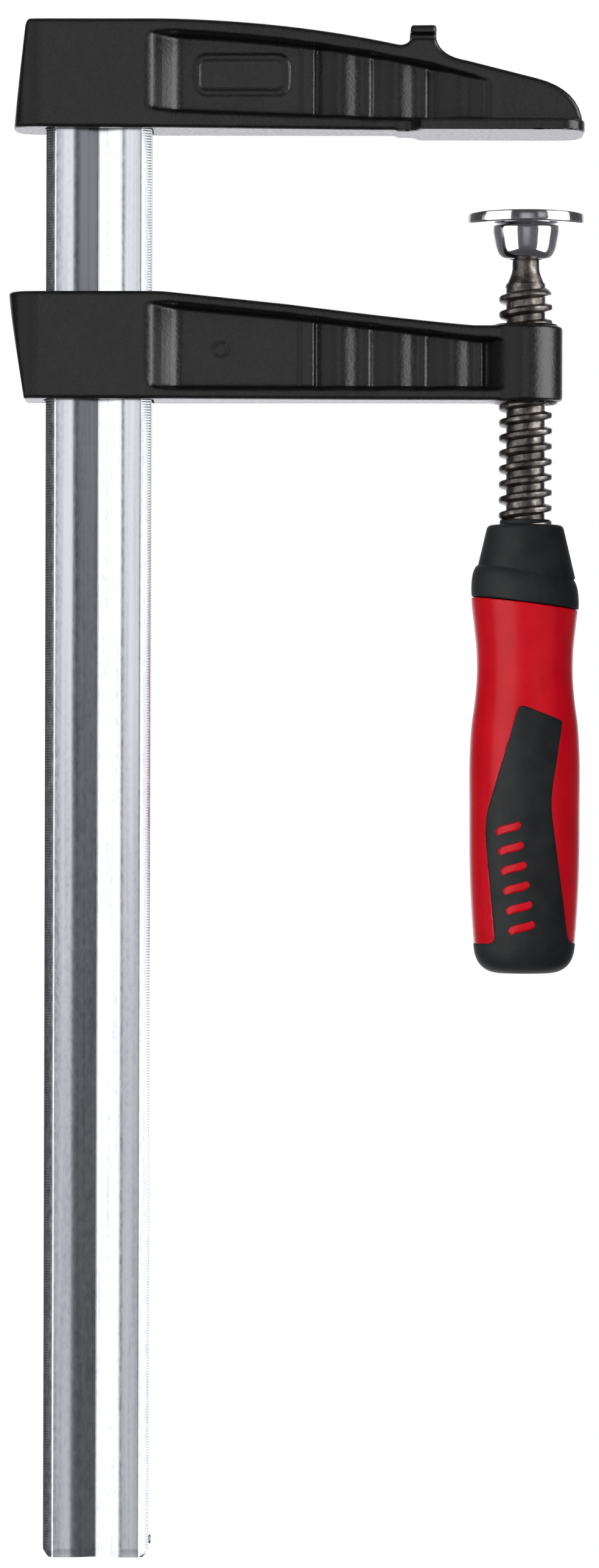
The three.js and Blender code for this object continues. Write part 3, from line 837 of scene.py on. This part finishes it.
# ---- Handle ----
HANDLE_Z, HANDLE_R = np.array([
    (-217.0, 12.2), (-209.3, 13.05), (-199, 13.8), (-188, 14.2), (-176, 14.25), (-160, 14.2),
    (-153, 13.75), (-147, 12.95), (-140, 12.4), (-134, 12.5), (-127, 13.2), (-121, 13.85),
    (-117, 13.9)]).T
SEAM = 0.11  # half the gap between collar and core


def handle_radius(z):
    """Smooth radius of the handle through its waist and belly."""
    slope = np.gradient(HANDLE_R, HANDLE_Z)
    z = np.clip(z, HANDLE_Z[0], HANDLE_Z[-1])
    i = np.clip(np.searchsorted(HANDLE_Z, z) - 1, 0, len(HANDLE_Z) - 2)
    span = HANDLE_Z[i + 1] - HANDLE_Z[i]
    t = (z - HANDLE_Z[i]) / span
    return ((2 * t ** 3 - 3 * t ** 2 + 1) * HANDLE_R[i]
            + (t ** 3 - 2 * t ** 2 + t) * span * slope[i]
            + (3 * t ** 2 - 2 * t ** 3) * HANDLE_R[i + 1]
            + (t ** 3 - t ** 2) * span * slope[i + 1])


def handle_form(x, y, z):
    radius = np.sqrt(x * x + y * y)
    side = (radius - handle_radius(z)) * 0.98
    return smooth_max(side, BUTT_BOTTOM - z, 6.5)


def panel_outline():
    corners = [(-1.9, -147.4), (9.5, -151.8), (6.2, -172.8), (11.6, -212), (-7.7, -212),
               (-10.6, -180.8), (-10.2, -175.6)]
    ring = []
    reach = [2.0, 1.0, 4.5, 0.5, 0.5, 3.0, 2.0]
    for i, corner in enumerate(corners):
        before, after = corners[i - 1], corners[(i + 1) % len(corners)]
        corner, before, after = (np.array(p) for p in (corner, before, after))
        start = corner + (before - corner) / np.linalg.norm(before - corner) * reach[i]
        end = corner + (after - corner) / np.linalg.norm(after - corner) * reach[i]
        ring += [start] + curve(start, corner, end, 5)
    return polygon_distance(ring)


def soft_region(panel, x, y, z, form):
    """Negative where the soft moulding lies: the two panels and the butt, a shell in thickness."""
    front = np.where(y < 0, x, -x)
    flat = looked_up(panel, front, z)
    region = smooth_min(flat, z + 209.3, 2.4)
    shell = np.maximum(region, -(form + 2.6))
    return np.minimum(shell, z + 212.5)


def slant(x, z):
    """Height above the slanted plane between collar and core."""
    return (z + 121.4 + x * HANDLE_SLANT) * 0.99


def handle():
    panel = panel_outline()
    low = np.array([-15.5, -15.5, -218.5])
    high = np.array([15.5, 15.5, -98.0])

    def bore(x, y, z):
        return np.maximum(np.sqrt(x * x + y * y) - TANG_RADIUS, TANG_BOTTOM - z)

    def core_field(x, y, z):
        form = handle_form(x, y, z)
        soft = soft_region(panel, x, y, z, form)
        core = smooth_max(form, slant(x, z) + SEAM, 0.35)
        core = smooth_max(core, -(soft + 0.3), 0.3)
        return np.maximum(core, -bore(x, y, z))

    def grip_field(x, y, z):
        form = handle_form(x, y, z)
        soft = soft_region(panel, x, y, z, form)
        return smooth_max(form - 0.14, soft, 0.4)

    def collar_field(x, y, z):
        radius = np.sqrt(x * x + y * y)
        kink = z + 113.3 + x * math.tan(math.radians(8))
        cone = 9.75 + 0.235 * (COLLAR_TOP - z)
        skirt = 12.5 + 1.5 * (1 - np.exp(np.minimum(kink, 0) / 1.9)) - 0.6 * np.maximum(kink, 0)
        skirt = skirt - 0.012 * np.clip(-kink - 5, 0, 10) ** 2
        outer = (radius - np.where(kink > 0, cone, np.maximum(skirt, 9))) * 0.95
        form = smooth_max(outer, z - COLLAR_TOP, 1.2)
        lip = smooth_max(radius - 6.6, z - LIP_TOP, 0.5)
        form = smooth_min(form, lip, 0.5)
        form = smooth_max(form, -slant(x, z) + SEAM, 0.35)
        return np.maximum(form, -bore(x, y, z))

    cell = 0.38
    pieces = (("handle_core_body", core_field, RED, "red_plastic", "handle_core", -119.0),
              ("handle_grip", grip_field, SOFT, "soft_black", "handle_soft_grip", -146.0),
              ("handle_collar_body", collar_field, SOFT, "soft_black", "handle_collar", -98.0))
    for name, field, material, slot, node, ceiling in pieces:
        floor = -127.0 if node == "handle_collar" else low[2]
        points, quads = surface_net(field, (low[0], low[1], floor), (high[0], high[1], ceiling),
                                    cell)
        add_piece(name, points, quads, material, "spindle", slot, [node], sharp=50)


def grip_marks():
    """Six short slanted bars, raised on the front and rear panels of the grip."""
    across, down = 13, 7
    points, faces = [], []
    for side in (0, math.pi):
        for k in range(6):
            centre_x, centre_z = -4.9 + 0.75 * k, -179.6 - 5.1 * k
            for layer, lift in ((0, 0.16), (1, 0.42)):
                for v in np.linspace(-1, 1, down):
                    for u in np.linspace(-1, 1, across):
                        round_off = math.sqrt(max(0.0, 1 - 0.42 * v * v * (abs(u) ** 3)))
                        edge = 1 - 0.1 * layer
                        x = centre_x + 3.5 * u * edge * round_off
                        z = centre_z + 1.05 * v * edge + 0.8 * u
                        radius = handle_radius(z) + lift - 0.08 * layer * max(abs(u), abs(v)) ** 6
                        angle = -math.pi / 2 + x / radius + side
                        points.append((radius * math.cos(angle), radius * math.sin(angle), z))
            first = len(points) - 2 * across * down
            size = across * down
            for i in range(down - 1):
                for j in range(across - 1):
                    a = first + i * across + j
                    faces.append((a, a + across, a + across + 1, a + 1))
                    b = a + size
                    faces.append((b, b + 1, b + across + 1, b + across))
            rim = ([first + j for j in range(across)]
                   + [first + i * across + across - 1 for i in range(1, down)]
                   + [first + (down - 1) * across + j for j in range(across - 2, -1, -1)]
                   + [first + i * across for i in range(down - 2, 0, -1)])
            for a, b in zip(rim, rim[1:] + rim[:1]):
                faces.append((a, b, b + size, a + size))
    return add_piece("grip_marks", points, faces, RED, "spindle", "red_plastic", sharp=60)


# ---- Studio ----
def studio():
    """White to the camera. To everything else it is a dim room, with a white wall behind the
    object, a pale strip behind the camera and a fainter one high to its right."""
    scene = bpy.context.scene
    scene.view_settings.view_transform = "Standard"
    world = bpy.data.worlds.new("studio")
    world.use_nodes = True
    scene.world = world
    tree = world.node_tree
    tree.nodes.clear()

    def node(kind, *inputs, **settings):
        made = tree.nodes.new(kind)
        for key, value in settings.items():
            setattr(made, key, value)
        for socket, value in zip(made.inputs, inputs):
            if isinstance(value, bpy.types.NodeSocket):
                tree.links.new(value, socket)
            elif value is not None:
                socket.default_value = value
        return made.outputs[0] if made.outputs else made

    def math_node(operation, *inputs):
        return node("ShaderNodeMath", *inputs, operation=operation)

    def ramp(value, stops):
        color = node("ShaderNodeValToRGB", value)
        elements = color.node.color_ramp.elements
        while len(elements) < len(stops):
            elements.new(0.5)
        for element, (position, level) in zip(elements, stops):
            element.position = position
            element.color = (level, level, level, 1)
        return color

    direction = tree.nodes.new("ShaderNodeTexCoord").outputs["Generated"]
    parts = node("ShaderNodeSeparateXYZ", direction).node.outputs
    azimuth = math_node("ARCTAN2", parts["X"], math_node("MULTIPLY", parts["Y"], -1.0))
    turn = math_node("MULTIPLY_ADD", azimuth, 0.5 / math.pi, 0.5)
    height = math_node("MULTIPLY_ADD", math_node("ARCSINE", parts["Z"]), 1 / math.pi, 0.5)

    def by_azimuth(*stops):
        return ramp(turn, [((angle + 180) / 360, level) for angle, level in stops])

    def by_elevation(*stops):
        return ramp(height, [((angle + 90) / 180, level) for angle, level in stops])

    wall = by_azimuth((-180, 1.0), (-158, 1.0), (-146, 0.16), (-120, 0.08), (120, 0.08),
                      (146, 0.16), (158, 1.0), (180, 1.0))
    strip = by_azimuth((-16, 0.0), (-8, 0.2), (4, 0.2), (18, 0.0))
    low = by_elevation((-21, 0), (-12, 0.55), (-6, 0.76), (0, 0.92), (6, 1), (12, 1), (21, 0))
    sweep = by_elevation((-40, 0.55), (-14, 1), (-3, 1), (3, 0.5))
    side = by_azimuth((20, 0), (25, 0.22), (35, 0.22), (40, 0))
    high = by_elevation((-3, 0.0), (0, 0.15), (5, 1), (14, 1), (26, 0))
    level = math_node("ADD", math_node("MULTIPLY", wall, sweep),
                      math_node("MULTIPLY", strip, low))
    level = math_node("ADD", level, math_node("MULTIPLY", side, high))
    lit = node("ShaderNodeBackground", node("ShaderNodeCombineXYZ", level, level,
                                            math_node("MULTIPLY", level, 1.06)), 1.65)
    pale = node("ShaderNodeBackground", (1, 1, 1, 1))
    seen = tree.nodes.new("ShaderNodeLightPath").outputs["Is Camera Ray"]
    node("ShaderNodeOutputWorld", node("ShaderNodeMixShader", seen, lit, pale))


AIM_X = -0.05  # metres; between the rail and the spindle
FILL_DISTANCE = 2.4
NEAREST_BOX, BOX_STEP = 2.28, 0.02


def softbox(name, azimuth, spread, radiance, height, centre_z, distance):
    """A tall area light, in metres, facing the object. The azimuth runs from the camera's side
    to the right, and the spread is the angle that the light fills, both in degrees."""
    light = bpy.data.lights.new(name, "AREA")
    light.shape = "RECTANGLE"
    light.size = 2 * distance * math.tan(math.radians(spread) / 2)
    light.size_y = height
    light.energy = radiance * math.pi * light.size * light.size_y
    lamp = bpy.data.objects.new(name, light)
    bpy.context.scene.collection.objects.link(lamp)
    angle = math.radians(azimuth)
    lamp.location = (AIM_X + distance * math.sin(angle), -distance * math.cos(angle), centre_z)
    lamp.rotation_euler = (math.radians(90), 0, angle)
    lamp.visible_camera = False
    return lamp


def lit_group(name, *starts):
    """A collection of the pieces whose names start so, for lights that only fall on them."""
    group = bpy.data.collections.new(name)
    for piece in bpy.context.scene.objects:
        if piece.type == "MESH" and piece.name.startswith(starts):
            group.objects.link(piece)
    return group


def lights():
    """Softboxes that only shape the highlights, each for its own pieces, and two fills that only
    light the colours."""
    castings = lit_group("castings", "fixed", "sliding")
    steel = lit_group("steel", "rail", "spindle")
    screw = lit_group("screw", "spindle")
    rail_only = lit_group("rail_only", "rail")
    chrome = lit_group("chrome", "pressure", "snap")
    grips = lit_group("grips", "handle", "grip")
    boxes = (("front_softbox", -2, 14, 0.48, 3.6, 0.2, steel),
             ("front_top_softbox", -2, 14, 0.55, 1.8, 0.73, rail_only),
             ("left_softbox", -45.5, 57, 1.75, 3.6, 0.2, steel),
             ("right_softbox", 71, 57, 5.6, 2.46, 1.26, screw),
             ("right_low_softbox", 71, 57, 2.4, 1.2, -1.15, screw),
             ("right_edge_softbox", 82, 50, 1.7, 3.6, 0.2, rail_only),
             ("left_chrome_softbox", -63, 62, 1.75, 3.6, 0.2, chrome),
             ("right_chrome_softbox", 69, 50, 2.4, 3.6, 0.2, chrome),
             ("left_grip_softbox", -48, 50, 1.75, 3.6, 0.2, grips),
             ("front_casting_softbox", -2, 14, 0.72, 3.6, 0.2, castings),
             ("left_casting_softbox", -48, 54, 0.45, 3.6, 0.2, castings),
             ("right_casting_softbox", 66, 54, 4.0, 3.6, 0.2, castings))
    for k, (name, azimuth, spread, radiance, height, centre_z, group) in enumerate(boxes):
        # No two stand at one distance, so that none hides another.
        box = softbox(name, azimuth, spread, radiance, height, centre_z,
                      NEAREST_BOX + BOX_STEP * k)
        box.visible_diffuse = False
        box.light_linking.receiver_collection = group
    softbox("left_fill", -42, 60, 2.0, 3.4, 0.3, FILL_DISTANCE).visible_glossy = False
    softbox("right_fill", 40, 60, 1.3, 3.4, 0.3, FILL_DISTANCE).visible_glossy = False


def floor():
    """A pale floor under the handle's lowest reach, left out of the reflections."""
    mesh = bpy.data.meshes.new("floor")
    reach, drop = 8.0, 310
    level = float(BUTT_BOTTOM - drop) * MM
    mesh.from_pydata([(-reach, -reach, level), (reach, -reach, level), (reach, reach, level),
                      (-reach, reach, level)], [], [(0, 1, 2, 3)])
    material = bpy.data.materials.new("pale_floor")
    material.use_nodes = True
    tree = material.node_tree
    glow = tree.nodes.new("ShaderNodeEmission").outputs[0]
    clear = tree.nodes.new("ShaderNodeBsdfTransparent").outputs[0]
    seen = tree.nodes.new("ShaderNodeLightPath").outputs["Is Camera Ray"]
    mix = tree.nodes.new("ShaderNodeMixShader")
    for output, node_input in zip((seen, clear, glow), mix.inputs):
        tree.links.new(output, node_input)
    tree.links.new(mix.outputs[0], tree.nodes["Material Output"].inputs["Surface"])
    mesh.materials.append(material)
    plane = bpy.data.objects.new("floor", mesh)
    bpy.context.scene.collection.objects.link(plane)


def camera():
    """Level with the handle, far enough for a long lens, rolled by a hair."""
    image_height_mm = 406.3  # what the frame's height covers at the spindle's distance
    distance, roll = 1500.0, -0.15
    centre_x, centre_z = -58.3, -168.3
    data = bpy.data.cameras.new("camera")
    data.sensor_width = 36.0
    data.lens = data.sensor_width * distance / image_height_mm
    eye = bpy.data.objects.new("camera", data)
    bpy.context.scene.collection.objects.link(eye)
    eye.location = (centre_x * MM, -distance * MM, centre_z * MM)
    eye.rotation_euler = (math.radians(90), math.radians(roll), 0)
    bpy.context.scene.camera = eye


camera()
studio()
floor()
cast_piece("fixed_jaw", fixed_jaw_field(), JAW_LOW, JAW_HIGH, "frame")
cast_piece("sliding_arm", sliding_arm_field(), ARM_LOW, ARM_HIGH, "sliding_arm")
rail()
end_stop()
spindle()
pressure_pad()
snap_ring()
handle()
grip_marks()
lights()
